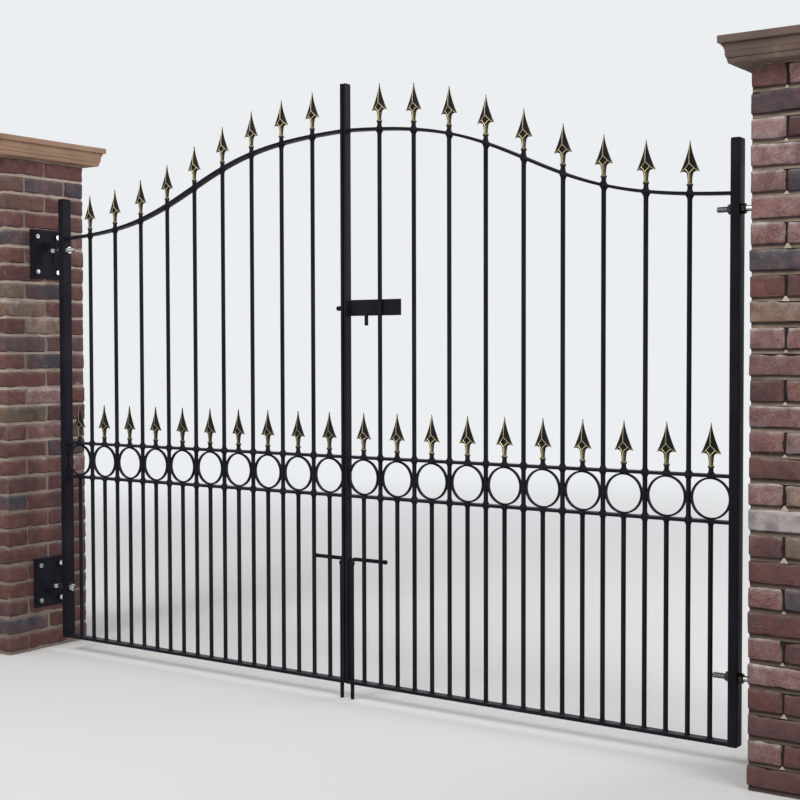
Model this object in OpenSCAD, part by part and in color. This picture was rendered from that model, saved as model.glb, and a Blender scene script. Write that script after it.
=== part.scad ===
// Double driveway gate of round bars and rings, hung between two brick piers.
// Millimetres. The origin is the middle of the left pier's foot, at ground level.
// +X runs along the gate to the right pier, +Y is the house side, +Z is up.
// Inside one leaf, u is the distance from the line where the two leaves meet.

/* [Leaf panel] */
// Number of rings across one leaf
ring_count = 10; // [6:1:12]
// Outside diameter of a ring
ring_d = 133.4; // [120:0.2:160.2]
// Thickness of the ring's flat bar, across the circle
ring_t = 6; // [4:0.5:10]
// Depth of the ring's flat bar, front to back
ring_depth = 12; // [8:1:25]
// Diameter of the upright bars
bar_d = 16; // [12:1:20]
// Clear height of the dog bars, from the bottom rail to the ring band
dog_clear = 681; // [500:1:900]
// Height of the gap under the leaf
ground_gap = 60; // [40:1:120]

/* [Rails and stiles] */
// Thickness of the ring rails and of the bowed top rail
rail_t = 10; // [8:1:14]
// Thickness of the bottom rail
bottom_rail_t = 12; // [10:1:16]
// Depth of all the rails, front to back
rail_d = 35; // [30:1:50]
// Width of the hinge stile along the gate
hinge_stile_w = 30; // [25:1:50]
// Depth of the hinge stile
hinge_stile_d = 45; // [40:1:60]
// Height of the hinge stile's top above the ground
hinge_stile_top = 1946; // [1850:1:2100]
// Width of the meeting stile along the gate
meet_stile_w = 10; // [8:1:16]
// Depth of the meeting stile
meet_stile_d = 32; // [28:1:50]
// Height of the meeting stile's top above the ground
meet_stile_top = 2273; // [2200:1:2400]
// Gap between the two meeting stiles
leaf_gap = 5.5; // [5.2:0.1:12]

/* [Bowed top] */
// Height of the top rail's centre line at the hinge stile
bow_low = 1777; // [1700:1:1850]
// Height of the top rail's centre line at the meeting stile
bow_high = 2102; // [2000:1:2200]
// Distance from the meeting line to the steepest place of the bow
bow_mid = 768; // [650:1:850]
// Softness of the bow: a larger value gives a longer slope
bow_soft = 193; // [150:1:230]

/* [Spear finials] */
// Height of a finial above its collar's foot
spear_h = 142; // [120:1:160]
// Width across the two barbs
spear_w = 73; // [60:1:80]
// Thickness at the spear's ridge
spear_t = 16; // [12:1:18]
// Height of the barbs above the collar's foot
barb_z = 45; // [38:1:52]
// Diameter of the collar under the spear
collar_d = 25; // [22:1:28]
// Height of the collar
collar_h = 9.5; // [7:0.5:12]
// Rise of the bar from a rail's centre line to the finial's foot
finial_rise = 23; // [18:1:40]

/* [Hinges] */
// Height of the upper hinge eye
upper_eye_z = 1728; // [1500:1:1740]
// Height of the lower hinge eye
lower_eye_z = 276; // [200:1:400]
// Diameter of the hinge pin
pin_d = 16; // [12:1:20]
// Distance from the hinge stile to the pin's axis
eye_reach = 58; // [40:1:70]
// Distance from the pin's axis to the brick face
pin_standoff = 51; // [45:1:70]
// Outside diameter of the eye
eye_d = 33; // [28:1:40]
// Diameter of the eye bolt's thread
eye_bolt_d = 18; // [16:1:20]
// Length of the left leaf's lower and upper eye bolts past their inner nuts
left_threads = [10, 33]; // [8:1:42]
// Length of the right leaf's lower and upper eye bolts past their inner nuts
right_threads = [42, 36]; // [8:1:42]
// Width of the nuts across flats
nut_af = 28; // [26:1:30]
// Thickness of the nuts
nut_t = 14; // [10:1:15]
// Width and height of the hinge plate on the pier
plate_w = 168; // [150:1:200]
plate_h = 212; // [180:1:240]
// Thickness of the hinge plate
plate_t = 8; // [6:1:12]
// Height of the lug that holds the pin
lug_h = 28; // [20:1:40]
// Width of the lug
lug_w = 26; // [22:1:32]
// Length of pin past the eye
pin_past = 43; // [20:1:60]
// Distances of the plate's four bolt holes from its middle, across and up
plate_bolt_y = 56; // [50:1:60]
plate_bolt_z = 76; // [60:1:80]
// Diameter of the bolt holes
plate_hole_d = 14; // [10:1:16]

/* [Bolts] */
// Diameter of the drop bolt
drop_d = 14.5; // [12:0.5:16]
// Height of the drop bolt's handle above the ground
drop_handle_z = 520; // [450:1:560]
// Length of the drop bolt's handle from the bolt to its end
drop_handle_len = 137; // [120:1:180]
// Distance from the meeting stile's inner face to the drop bolt's middle
drop_off = 11.25; // [10:0.25:14]
// Height of the slide bolt
slide_z = 1452; // [1300:1:1550]
// Diameter of the slide bolt
slide_d = 12; // [10:1:14]
// Distance from the meeting stile's back to the slide bolt's middle
slide_off = 12; // [12:1:16]
// Length and height of the shield plate in front of the slide bolt
shield_l = 228; // [200:1:240]
shield_h = 59; // [50:1:80]
// Thickness of the shield plate
shield_t = 4; // [3:0.5:6]
// Distance from the shield's end to the slide bolt's tail
tail_short = 26; // [20:1:30]
// Distance from the meeting line to the slide bolt's handle
slide_handle_u = 73; // [72:1:78]
// Wall of the keeper tube on the left leaf
keeper_wall = 2; // [1.5:0.25:3]
// Length of the keeper tube
keeper_l = 53; // [50:1:58]

/* [Piers] */
// Side of a square brick pier
pier_side = 440; // [320:5:560]
// Number of brick courses
course_count = 28; // [24:1:32]
// Height of one course with its joint
course_h = 75.5; // [70:0.5:80]
// Thickness of the mortar bed under the cap
cap_bed = 5; // [5:1:15]
// Overhang of the cap's lower edge
cap_reach_low = 50; // [30:1:60]
// How much further the cap's top slab overhangs
cap_reach_step = 24; // [20:1:40]
// Height of the cap's moulded edge
cap_edge_h = 80; // [72:1:110]
// Rise of the weathered top
cap_weather = 22; // [10:1:26]

/* [Hidden] */

$fn = 48;
// Clearance where a piece sits in or against another
seat = 0.3;
// Clearance round a sliding bolt in its guides, and round it in its keeper
slip = 0.5;
keeper_slip = 1;
// How far a cutting shape runs past what it cuts
over = 1;

// Height of the hinge eye, which stands a little over the bolt on both faces
eye_lip = 0.5;
eye_h = eye_bolt_d + 2 * eye_lip;

// Clear square that one ring fills
ring_space = ring_d + 2 * seat;
// Distance from one upright bar to the next
bar_pitch = ring_space + bar_d;
// Distances from the meeting line
meet_face_u = leaf_gap / 2 + meet_stile_w;
panel_w = ring_count * ring_space + (ring_count - 1) * bar_d;
hinge_face_u = meet_face_u + panel_w;
hinge_outer_u = hinge_face_u + hinge_stile_w;
pin_u = hinge_outer_u + eye_reach;
drop_u = meet_face_u + drop_off;
reveal_u = pin_u + pin_standoff;
// Middle of the gateway and of the right pier, along X
gate_x = pier_side / 2 + reveal_u;
right_pier_x = 2 * gate_x;

// Distance of the slide bolt behind the gate's middle plane
slide_y = meet_stile_d / 2 + slide_off;

// Heights of the rails' centre lines and faces
bottom_rail_z = ground_gap + bottom_rail_t / 2;
bottom_rail_top = ground_gap + bottom_rail_t;
lower_ring_z = bottom_rail_top + dog_clear + rail_t / 2;
ring_z = lower_ring_z + (rail_t + ring_space) / 2;
upper_ring_z = lower_ring_z + rail_t + ring_space;
pier_top = course_count * course_h;

// Distances of the long bars and of the ring middles from the meeting line
bar_us = [for (i = [1 : ring_count - 1]) meet_face_u + i * ring_space + (i - 0.5) * bar_d];
ring_us = [for (i = [0 : ring_count - 1]) meet_face_u + ring_space / 2 + i * bar_pitch];

gate_black = [0.11, 0.105, 0.13];
brass_black = [0.3, 0.27, 0.18];
zinc = [0.72, 0.73, 0.75];
brick_red = [0.46, 0.27, 0.25];
cap_stone = [0.62, 0.47, 0.36];

// Height of the bow's centre line at a distance u from the meeting line
function bow_share(u) = 1 / (1 + exp((u - bow_mid) / bow_soft));
function bow_z(u) =
    let (near = bow_share(meet_face_u), far = bow_share(hinge_face_u))
    bow_low + (bow_high - bow_low) * (bow_share(u) - far) / (near - far);

// Slope of the bow at u, as an angle in degrees
slope_step = 0.5;
function bow_angle(u) = atan2(bow_z(u + slope_step) - bow_z(u - slope_step), 2 * slope_step);

// Places a leaf's geometry, drawn towards +u, on the left or on the right side
module on_side(side) {
    translate([gate_x, 0, 0])
        if (side < 0) mirror([1, 0, 0]) children();
        else children();
}

// An upright post with its top edges rounded by r, standing on z = 0 in the +x, +y corner
function crown(w, h, r) = concat([[0, 0], [w, 0]],
    [for (a = [0 : 30 : 90]) [w - r + r * cos(a), h - r + r * sin(a)]],
    [for (a = [90 : 30 : 180]) [r + r * cos(a), h - r + r * sin(a)]]);
module post(w, d, h, r) {
    intersection() {
        translate([0, d, 0]) rotate([90, 0, 0]) linear_extrude(d) polygon(crown(w, h, r));
        rotate([90, 0, 90]) linear_extrude(w) polygon(crown(d, h, r));
    }
}

// A round bar standing on z = 0, its foot bevelled and its top bevelled or square
module round_bar(d, h, foot_bevel, top_bevel = 0) {
    r = d / 2;
    rotate_extrude() polygon(concat(
        [[0, 0], [r - foot_bevel, 0], [r, foot_bevel]],
        top_bevel > 0 ? [[r, h - top_bevel], [r - top_bevel, h]] : [[r, h]],
        [[0, h]]));
}

// A straight flat bar from the meeting stile to the hinge stile
module flat_rail(z_mid, t) {
    translate([meet_face_u, -rail_d / 2, z_mid - t / 2]) cube([panel_w, rail_d, t]);
}

// Upright holes through the rails where the long bars pass
module bar_holes(z_low, z_high) {
    for (u = bar_us)
        translate([u, 0, z_low]) cylinder(d = bar_d + 2 * seat, h = z_high - z_low);
}

// The hinge stile is a capped box section, drilled through for the eye bolts
module hinge_stile(side) {
    cap_round = 4;
    color(gate_black) on_side(side) difference() {
        translate([hinge_face_u, -hinge_stile_d / 2, ground_gap])
            post(hinge_stile_w, hinge_stile_d, hinge_stile_top - ground_gap, cap_round);
        for (z = [lower_eye_z, upper_eye_z])
            translate([hinge_face_u - over, 0, z]) rotate([0, 90, 0])
                cylinder(d = eye_bolt_d + 2 * seat, h = hinge_stile_w + 2 * over);
    }
}

module meeting_stile(side) {
    edge_round = 1.5;
    color(gate_black) on_side(side)
        translate([leaf_gap / 2, -meet_stile_d / 2, ground_gap])
            post(meet_stile_w, meet_stile_d, meet_stile_top - ground_gap, edge_round);
}

// The bowed rail is a flat bar bent on the flat, drawn as an outline and given its depth
module top_rail(side) {
    steps = 44;
    stations = [for (i = [-1 : steps + 1]) meet_face_u + panel_w * i / steps];
    upper = [for (u = stations)
        [u - sin(bow_angle(u)) * rail_t / 2, bow_z(u) + cos(bow_angle(u)) * rail_t / 2]];
    lower = [for (i = [len(stations) - 1 : -1 : 0])
        let (u = stations[i])
        [u + sin(bow_angle(u)) * rail_t / 2, bow_z(u) - cos(bow_angle(u)) * rail_t / 2]];
    color(gate_black) on_side(side) difference() {
        intersection() {
            translate([0, rail_d / 2, 0]) rotate([90, 0, 0])
                linear_extrude(rail_d) polygon(concat(upper, lower));
            translate([meet_face_u, -rail_d, 0]) cube([panel_w, 2 * rail_d, bow_high + 10 * rail_t]);
        }
        bar_holes(bow_low - 5 * rail_t, bow_high + 5 * rail_t);
    }
}

module ring_rail(side, z_mid) {
    color(gate_black) on_side(side) difference() {
        flat_rail(z_mid, rail_t);
        bar_holes(z_mid - rail_t, z_mid + rail_t);
    }
}

module bottom_rail(side) {
    color(gate_black) on_side(side) difference() {
        flat_rail(bottom_rail_z, bottom_rail_t);
        translate([drop_u, 0, ground_gap - over])
            cylinder(d = drop_d + 2 * slip, h = bottom_rail_t + 2 * over);
    }
}

module bars(side) {
    color(gate_black) on_side(side)
        for (u = bar_us)
            translate([u, 0, bottom_rail_top])
                cylinder(d = bar_d, h = bow_z(u) + finial_rise - bottom_rail_top);
}

module dog_bars(side) {
    color(gate_black) on_side(side)
        for (u = ring_us)
            translate([u, 0, bottom_rail_top]) cylinder(d = bar_d, h = dog_clear);
}

module rings(side) {
    color(gate_black) on_side(side)
        for (u = ring_us)
            translate([u, ring_depth / 2, ring_z]) rotate([90, 0, 0])
                difference() {
                    cylinder(d = ring_d, h = ring_depth);
                    translate([0, 0, -over]) cylinder(d = ring_d - 2 * ring_t, h = ring_depth + 2 * over);
                }
}

module stub_bars(side) {
    color(gate_black) on_side(side)
        for (u = ring_us)
            translate([u, 0, upper_ring_z + rail_t / 2])
                cylinder(d = bar_d, h = finial_rise - rail_t / 2);
}

// One cast spear: a bead, a flared throat and a barbed blade with a diamond pocket.
// Each level of the blade is a six-cornered ring: the front and back ridges and the two
// thin edges. It is [half width, height of the edge, height of the ridge].
edge_t = 2.4;
throat_foot_d = 15;
throat_top_d = 22;
blade_levels = [
    [9, barb_z - 7, barb_z - 7],
    [throat_top_d * 0.65, barb_z + 2, barb_z],
    [spear_w / 2, barb_z - 1, barb_z + 7],
    [spear_w * 0.435, barb_z + 9, barb_z + 14],
    [spear_w * 0.35, barb_z + 20, barb_z + 24],
    [spear_w * 0.27, barb_z + 33, barb_z + 36],
    [spear_w * 0.2, barb_z + 50, barb_z + 52],
    [spear_w * 0.115, spear_h - 21, spear_h - 21],
    [1.2, spear_h, spear_h]
];
tip_half = 1.5;
ridge_taper = 0.14;
function ridge_half(z) = min(spear_t / 2, tip_half + (spear_h - z) * ridge_taper);
function blade_ring(level) =
    let (w = level[0], ze = level[1], zr = level[2], t = ridge_half(zr), e = edge_t / 2)
    [[0, -t, zr], [w, -e, ze], [w, e, ze], [0, t, zr], [-w, e, ze], [-w, -e, ze]];

module blade() {
    count = len(blade_levels);
    sides = 6;
    points = [for (level = blade_levels) each blade_ring(level)];
    foot = [[for (k = [0 : sides - 1]) k]];
    tip = [[for (k = [sides - 1 : -1 : 0]) (count - 1) * sides + k]];
    // Each four-cornered patch is split from its thin edge below to its ridge above
    walls = [for (i = [0 : count - 2]) for (k = [0 : sides - 1])
        let (a = i * sides + k, b = i * sides + (k + 1) % sides)
        each k % 3 == 2
            ? [[a, a + sides, b + sides], [a, b + sides, b]]
            : [[a, a + sides, b], [b, a + sides, b + sides]]];
    polyhedron(points, concat(foot, tip, walls));
}

// Diamond pockets sunk into the front and back of the blade
pocket_w = 24;
pocket_h = 25;
pocket_z = barb_z + 12;
pocket_floor = 4.4;
module pockets() {
    for (face = [0, 180])
        rotate([0, 0, face]) translate([0, -pocket_floor, pocket_z]) rotate([90, 0, 0])
            linear_extrude(spear_t) polygon([[-pocket_w / 2, 0], [0, -pocket_h / 2],
                [pocket_w / 2, 0], [0, pocket_h / 2]]);
}

module spear() {
    bead_r = collar_h / 2;
    difference() {
        union() {
            blade();
            translate([0, 0, bead_r])
                cylinder(d1 = throat_foot_d, d2 = throat_top_d, h = barb_z - bead_r - 1);
        }
        pockets();
    }
    rotate_extrude() {
        square([collar_d / 2 - bead_r, collar_h]);
        translate([collar_d / 2 - bead_r, bead_r]) intersection() {
            circle(bead_r);
            translate([0, -collar_h]) square(2 * collar_h);
        }
    }
}

module bar_finials(side) {
    color(brass_black) on_side(side)
        for (u = bar_us)
            translate([u, 0, bow_z(u) + finial_rise]) spear();
}

module stub_finials(side) {
    color(brass_black) on_side(side)
        for (u = ring_us)
            translate([u, 0, upper_ring_z + finial_rise]) spear();
}

// Threaded bolt along X with a nut each side of the stile and an eye round the pin
module eye_bolts(side) {
    bore = pin_d + 2 * seat;
    threads = side < 0 ? left_threads : right_threads;
    color(zinc) on_side(side)
        for (i = [0 : 1]) translate([0, 0, [lower_eye_z, upper_eye_z][i]]) {
            translate([hinge_outer_u, 0, 0]) rotate([0, 90, 0]) nut();
            translate([hinge_face_u - nut_t, 0, 0]) rotate([0, 90, 0]) nut();
            difference() {
                union() {
                    translate([hinge_face_u - nut_t - threads[i], 0, 0]) rotate([0, 90, 0])
                        cylinder(d = eye_bolt_d, h = pin_u - hinge_face_u + nut_t + threads[i]);
                    translate([pin_u, 0, -eye_h / 2]) cylinder(d = eye_d, h = eye_h);
                }
                translate([pin_u, 0, -eye_h]) cylinder(d = bore, h = 2 * eye_h);
            }
        }
}

// A hexagon nut with both ends turned down to its flats
module nut() {
    corner_r = nut_af / 2 / cos(30);
    end_r = nut_af / 2 - 0.5;
    chamfer = (corner_r - end_r) / 2;
    intersection() {
        cylinder(r = corner_r, h = nut_t, $fn = 6);
        rotate_extrude() polygon([[0, 0], [end_r, 0], [corner_r, chamfer],
            [corner_r, nut_t - chamfer], [end_r, nut_t], [0, nut_t]]);
    }
}

// Plate on the pier with a lug and a fixed pin. turn = 1 puts the lug under the eye and
// the pin up, and turn = -1 puts the lug over the eye and the pin down.
module hinge_plate(z, turn) {
    plate_shift = 14;
    lug_near = eye_h / 2 + seat;
    pin_bevel = 2;
    difference() {
        translate([reveal_u - plate_t, -plate_w / 2, z + turn * plate_shift - plate_h / 2])
            cube([plate_t, plate_w, plate_h]);
        for (y = [-plate_bolt_y, plate_bolt_y], dz = [-plate_bolt_z, plate_bolt_z])
            translate([reveal_u - plate_t - over, y, z + turn * plate_shift + dz]) rotate([0, 90, 0])
                cylinder(d = plate_hole_d, h = plate_t + 2 * over);
    }
    translate([0, 0, z]) mirror([0, 0, turn < 0 ? 1 : 0]) {
        translate([pin_u, -lug_w / 2, -lug_near - lug_h])
            cube([pin_standoff - plate_t, lug_w, lug_h]);
        translate([pin_u, 0, -lug_near - lug_h]) {
            cylinder(d = lug_w, h = lug_h);
            round_bar(pin_d, lug_h + eye_h + seat + pin_past, pin_bevel, pin_bevel);
        }
    }
}

module hinge_plates(side) {
    color(gate_black) on_side(side) {
        hinge_plate(lower_eye_z, 1);
        hinge_plate(upper_eye_z, -1);
    }
}

// Guide for the drop bolt, welded to the meeting stile under the bolt's handle
guide_wall = 2;
guide_h = 12;
guide_top = drop_handle_z - drop_d / 2 - seat;
module drop_guide(side) {
    reach = drop_u - meet_face_u;
    outer = drop_d + 2 * slip + 2 * guide_wall;
    color(gate_black) on_side(side) translate([0, 0, guide_top - guide_h]) difference() {
        union() {
            translate([drop_u, 0, 0]) cylinder(d = outer, h = guide_h);
            translate([meet_face_u, -outer / 2, 0]) cube([reach, outer, guide_h]);
        }
        translate([drop_u, 0, -over]) cylinder(d = drop_d + 2 * slip, h = guide_h + 2 * over);
        translate([meet_face_u - outer, -outer, -over]) cube([outer, 2 * outer, guide_h + 2 * over]);
    }
}

// One bar with its foot on the ground, bent back past the bars and then along the gate as
// a handle, drawn down a little and ending in a ball
handle_y = 21;
handle_d = drop_d - 0.5;
handle_ball_d = drop_d + 3;
module drop_bolt(side) {
    foot_gap = 1;
    foot_bevel = 2;
    color(gate_black) on_side(side) {
        translate([drop_u, 0, foot_gap]) round_bar(drop_d, drop_handle_z - foot_gap, foot_bevel);
        translate([drop_u, 0, drop_handle_z]) {
            sphere(d = drop_d);
            rotate([-90, 0, 0]) cylinder(d = handle_d, h = handle_y);
            translate([0, handle_y, 0]) {
                sphere(d = handle_d);
                rotate([0, 90, 0]) cylinder(d = handle_d, h = drop_handle_len);
                translate([drop_handle_len, 0, 0]) sphere(d = handle_ball_d);
            }
        }
    }
}

// Shield plate behind the first long bar, butted to the right leaf's meeting stile
shield_y = bar_d / 2 + seat;
module bolt_shield() {
    color(gate_black) on_side(1)
        translate([meet_face_u, shield_y, slide_z - shield_h / 2])
            cube([shield_l, shield_t, shield_h]);
}

// Two drilled blocks on the back of the shield, clear of the handle's travel
block_w = 12;
block_us = [90, 150];
block_side = 26;
module bolt_guides() {
    shield_back = shield_y + shield_t;
    depth = slide_y + block_side / 2 - shield_back;
    color(gate_black) on_side(1) for (u = block_us)
        difference() {
            translate([u, shield_back, slide_z - block_side / 2]) cube([block_w, depth, block_side]);
            translate([u - over, slide_y, slide_z]) rotate([0, 90, 0])
                cylinder(d = slide_d + 2 * slip, h = block_w + 2 * over);
        }
}

// Bolt with both ends bevelled, and its handle coped to fit under it
slide_bevel = 1.5;
module slide_bolt() {
    tail_u = meet_face_u + shield_l - tail_short;
    color(gate_black) on_side(1)
        translate([leaf_gap / 2, slide_y, slide_z]) rotate([0, 90, 0])
            round_bar(slide_d, tail_u - leaf_gap / 2, slide_bevel, slide_bevel);
}

module slide_handle() {
    handle_drop = 65;
    color(gate_black) on_side(1) difference() {
        translate([slide_handle_u, slide_y, slide_z - handle_drop])
            round_bar(slide_d, handle_drop, slide_bevel);
        translate([slide_handle_u - slide_d, slide_y, slide_z]) rotate([0, 90, 0])
            cylinder(d = slide_d + 2 * seat, h = 2 * slide_d);
    }
}

// Closed tube on the back of the left meeting stile, for the slide bolt's nose
keeper_bore_d = slide_d + 2 * keeper_slip;
keeper_d = keeper_bore_d + 2 * keeper_wall;
module keeper() {
    foot_h = keeper_d - keeper_wall;
    nose_u = leaf_gap / 2 + keeper_l;
    color(gate_black) on_side(-1) difference() {
        union() {
            translate([leaf_gap / 2, slide_y, slide_z]) rotate([0, 90, 0]) cylinder(d = keeper_d, h = keeper_l);
            translate([nose_u, slide_y, slide_z]) sphere(d = keeper_d);
            translate([leaf_gap / 2, meet_stile_d / 2, slide_z - foot_h / 2])
                cube([meet_stile_w, slide_off, foot_h]);
        }
        translate([leaf_gap / 2 - over, slide_y, slide_z]) rotate([0, 90, 0])
            cylinder(d = keeper_bore_d, h = over + keeper_l);
    }
}

module pier(x) {
    color(brick_red) translate([x - pier_side / 2, -pier_side / 2, 0])
        cube([pier_side, pier_side, pier_top + cap_bed]);
}

// Half of the cap's moulded outline, from the soffit up: two fillets with a quirk over
// each, a cove, a groove and the top slab. [reach past the brick, height above the soffit]
fillet_h = 16;
fillet_lean = 3;
quirk = 2;
cove_out = 9;
cove_up = 18;
cap_reach_top = cap_reach_low + cap_reach_step;
slab_z = 2 * fillet_h + quirk + cove_up + 3 * quirk;
function cap_fillet(reach, z) = [
    [reach, z], [reach + fillet_lean, z + fillet_h - quirk],
    [reach + fillet_lean - quirk, z + fillet_h - quirk], [reach + fillet_lean - quirk, z + fillet_h]];
function cap_side() =
    let (second = cap_reach_low + fillet_lean + quirk, cove = second + fillet_lean, cove_z = 2 * fillet_h + quirk)
    concat(
        cap_fillet(cap_reach_low, 0),
        cap_fillet(second, fillet_h),
        [[cove, 2 * fillet_h]],
        [for (a = [0 : 15 : 90]) [cove + cove_out * (1 - cos(a)), cove_z + cove_up * sin(a)]],
        [[cove + cove_out - 2 * quirk, cove_z + cove_up], [cove + cove_out - 2 * quirk, slab_z],
            [cap_reach_top, slab_z], [cap_reach_top, cap_edge_h - quirk], [cap_reach_top - quirk, cap_edge_h]]);

module cap_slice() {
    half = pier_side / 2;
    side_pts = cap_side();
    left = [for (p = side_pts) [-half - p[0], p[1]]];
    right = [for (i = [len(side_pts) - 1 : -1 : 0]) [half + side_pts[i][0], side_pts[i][1]]];
    outline = concat(left, [[0, cap_edge_h + cap_weather]], right);
    full = 2 * (half + cap_reach_top + over);
    translate([0, full / 2, 0]) rotate([90, 0, 0]) linear_extrude(full) polygon(outline);
}

// The moulding runs round all four sides with mitred corners
module pier_cap(x) {
    color(cap_stone) translate([x, 0, pier_top + cap_bed]) intersection() {
        cap_slice();
        rotate([0, 0, 90]) cap_slice();
    }
}

pier(0);  // left_pier
pier(right_pier_x);  // right_pier
pier_cap(0);  // left_pier_cap
pier_cap(right_pier_x);  // right_pier_cap
hinge_plates(-1);  // left_hinge_plates
hinge_plates(1);  // right_hinge_plates
hinge_stile(-1);  // left_hinge_stile
meeting_stile(-1);  // left_meeting_stile
top_rail(-1);  // left_top_rail
ring_rail(-1, upper_ring_z);  // left_upper_ring_rail
ring_rail(-1, lower_ring_z);  // left_lower_ring_rail
bottom_rail(-1);  // left_bottom_rail
bars(-1);  // left_bars
dog_bars(-1);  // left_dog_bars
rings(-1);  // left_rings
stub_bars(-1);  // left_stub_bars
bar_finials(-1);  // left_bar_finials
stub_finials(-1);  // left_stub_finials
eye_bolts(-1);  // left_eye_bolts
drop_guide(-1);  // left_drop_guide
keeper();  // left_keeper
hinge_stile(1);  // right_hinge_stile
meeting_stile(1);  // right_meeting_stile
top_rail(1);  // right_top_rail
ring_rail(1, upper_ring_z);  // right_upper_ring_rail
ring_rail(1, lower_ring_z);  // right_lower_ring_rail
bottom_rail(1);  // right_bottom_rail
bars(1);  // right_bars
dog_bars(1);  // right_dog_bars
rings(1);  // right_rings
stub_bars(1);  // right_stub_bars
bar_finials(1);  // right_bar_finials
stub_finials(1);  // right_stub_finials
eye_bolts(1);  // right_eye_bolts
drop_guide(1);  // right_drop_guide
bolt_shield();  // right_bolt_shield
bolt_guides();  // right_bolt_guides
drop_bolt(-1);  // left_drop_bolt
drop_bolt(1);  // right_drop_bolt
slide_bolt();
slide_handle();
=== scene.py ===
import math
import random

import bmesh
import bpy
from mathutils import Euler, Matrix, Vector, noise


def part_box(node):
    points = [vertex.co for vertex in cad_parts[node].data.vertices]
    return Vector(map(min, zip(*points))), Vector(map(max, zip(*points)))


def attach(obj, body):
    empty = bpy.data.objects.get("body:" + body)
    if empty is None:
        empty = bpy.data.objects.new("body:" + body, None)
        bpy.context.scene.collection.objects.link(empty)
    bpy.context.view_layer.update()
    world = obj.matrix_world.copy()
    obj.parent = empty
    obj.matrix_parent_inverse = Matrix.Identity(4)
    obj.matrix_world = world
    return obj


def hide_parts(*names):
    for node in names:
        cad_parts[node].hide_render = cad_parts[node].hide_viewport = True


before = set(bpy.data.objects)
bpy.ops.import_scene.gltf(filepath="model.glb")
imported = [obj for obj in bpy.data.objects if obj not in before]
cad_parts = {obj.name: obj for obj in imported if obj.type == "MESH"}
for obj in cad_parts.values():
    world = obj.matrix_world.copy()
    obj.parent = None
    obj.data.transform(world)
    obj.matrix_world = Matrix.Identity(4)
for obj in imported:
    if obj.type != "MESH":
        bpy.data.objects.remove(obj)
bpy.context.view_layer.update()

# Camera. It stands in the drive at eye height, right of the gate, and looks back along it,
# so the right leaf is near and the left pier is far.
camera = bpy.data.objects.new("camera", bpy.data.cameras.new("camera"))
bpy.context.scene.collection.objects.link(camera)
camera.data.lens = 64.06
camera.data.clip_end = 200
camera.location = (5.0369, -4.1978, 1.2958)
camera.rotation_euler = [math.radians(a) for a in (88.0003, 0.1362, 34.9879)]
bpy.context.scene.camera = camera

# Studio. A pale floor under the gate and a pale surround, lit by a broad lamp on the street
# side, a weaker one past the right pier and one on the house side.
bpy.context.scene.view_settings.view_transform = "Standard"


def feed(tree, made, feeds):
    """Gives each input of a node a number, a colour or the socket that drives it."""
    for name, value in feeds.items():
        if isinstance(value, bpy.types.NodeSocket):
            tree.links.new(value, made.inputs[name])
        else:
            made.inputs[name].default_value = value


def add_node(tree, kind, feeds=None, **settings):
    """One node with its settings and what its inputs are fed."""
    made = tree.nodes.new("ShaderNode" + kind)
    for key, value in settings.items():
        setattr(made, key, value)
    feed(tree, made, feeds or {})
    return made


def maths(tree, operation, *values, **settings):
    """The result of one Math node."""
    made = add_node(tree, "Math", dict(enumerate(values)), operation=operation, **settings)
    return made.outputs[0]


def ranged(tree, value, low, high, to_low=0.0, to_high=1.0, smooth=False):
    """A value carried from one range to another and held at its ends."""
    feeds = {"Value": value, "From Min": low, "From Max": high, "To Min": to_low, "To Max": to_high}
    way = "SMOOTHSTEP" if smooth else "LINEAR"
    return add_node(tree, "MapRange", feeds, interpolation_type=way).outputs["Result"]


def start_material(name):
    """A material, its empty node tree and the place on the object; the caller adds the rest."""
    made = bpy.data.materials.new(name)
    made.use_nodes = True
    made.node_tree.nodes.clear()
    return made, made.node_tree, add_node(made.node_tree, "TexCoord").outputs["Object"]


def seen_directly(tree):
    """1 for camera, glossy and transmitted rays, 0 for the rays that light the object."""
    path = add_node(tree, "LightPath").outputs
    mirrored = maths(tree, "MAXIMUM", path["Is Camera Ray"], path["Is Glossy Ray"])
    return maths(tree, "MAXIMUM", mirrored, path["Is Transmission Ray"])


SURROUND = (0.84, 0.86, 0.88, 1)
world = bpy.data.worlds.new("surround")
bpy.context.scene.world = world
world.use_nodes = True
tree = world.node_tree
tree.nodes.clear()
plain = add_node(tree, "Background", {"Color": (0.93, 0.96, 1.0, 1), "Strength": 0.5})
pale = add_node(tree, "Background", {"Color": SURROUND, "Strength": 1.0})
either = add_node(tree, "MixShader", {
    0: seen_directly(tree), 1: plain.outputs[0], 2: pale.outputs[0]})
add_node(tree, "OutputWorld", {"Surface": either.outputs[0]})

AIM = Vector((1.86, 0, 1.1))


def add_lamp(name, place, size, watts, colour):
    """A square area lamp aimed at the middle of the gate."""
    data = bpy.data.lights.new(name, "AREA")
    data.energy, data.size, data.color = watts, size, colour
    lamp = bpy.data.objects.new(name, data)
    bpy.context.scene.collection.objects.link(lamp)
    lamp.location = place
    lamp.rotation_euler = (AIM - Vector(place)).to_track_quat("-Z", "Y").to_euler()


add_lamp("street_lamp", (0.2, -7.0, 8.0), 4.0, 430, (1.0, 0.98, 0.95))
add_lamp("side_lamp", (9.0, -2.5, 4.5), 4.0, 170, (0.95, 0.96, 1.0))
add_lamp("house_lamp", (7.6, 5.2, 4.2), 5.0, 290, (0.96, 0.96, 1.0))

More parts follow.
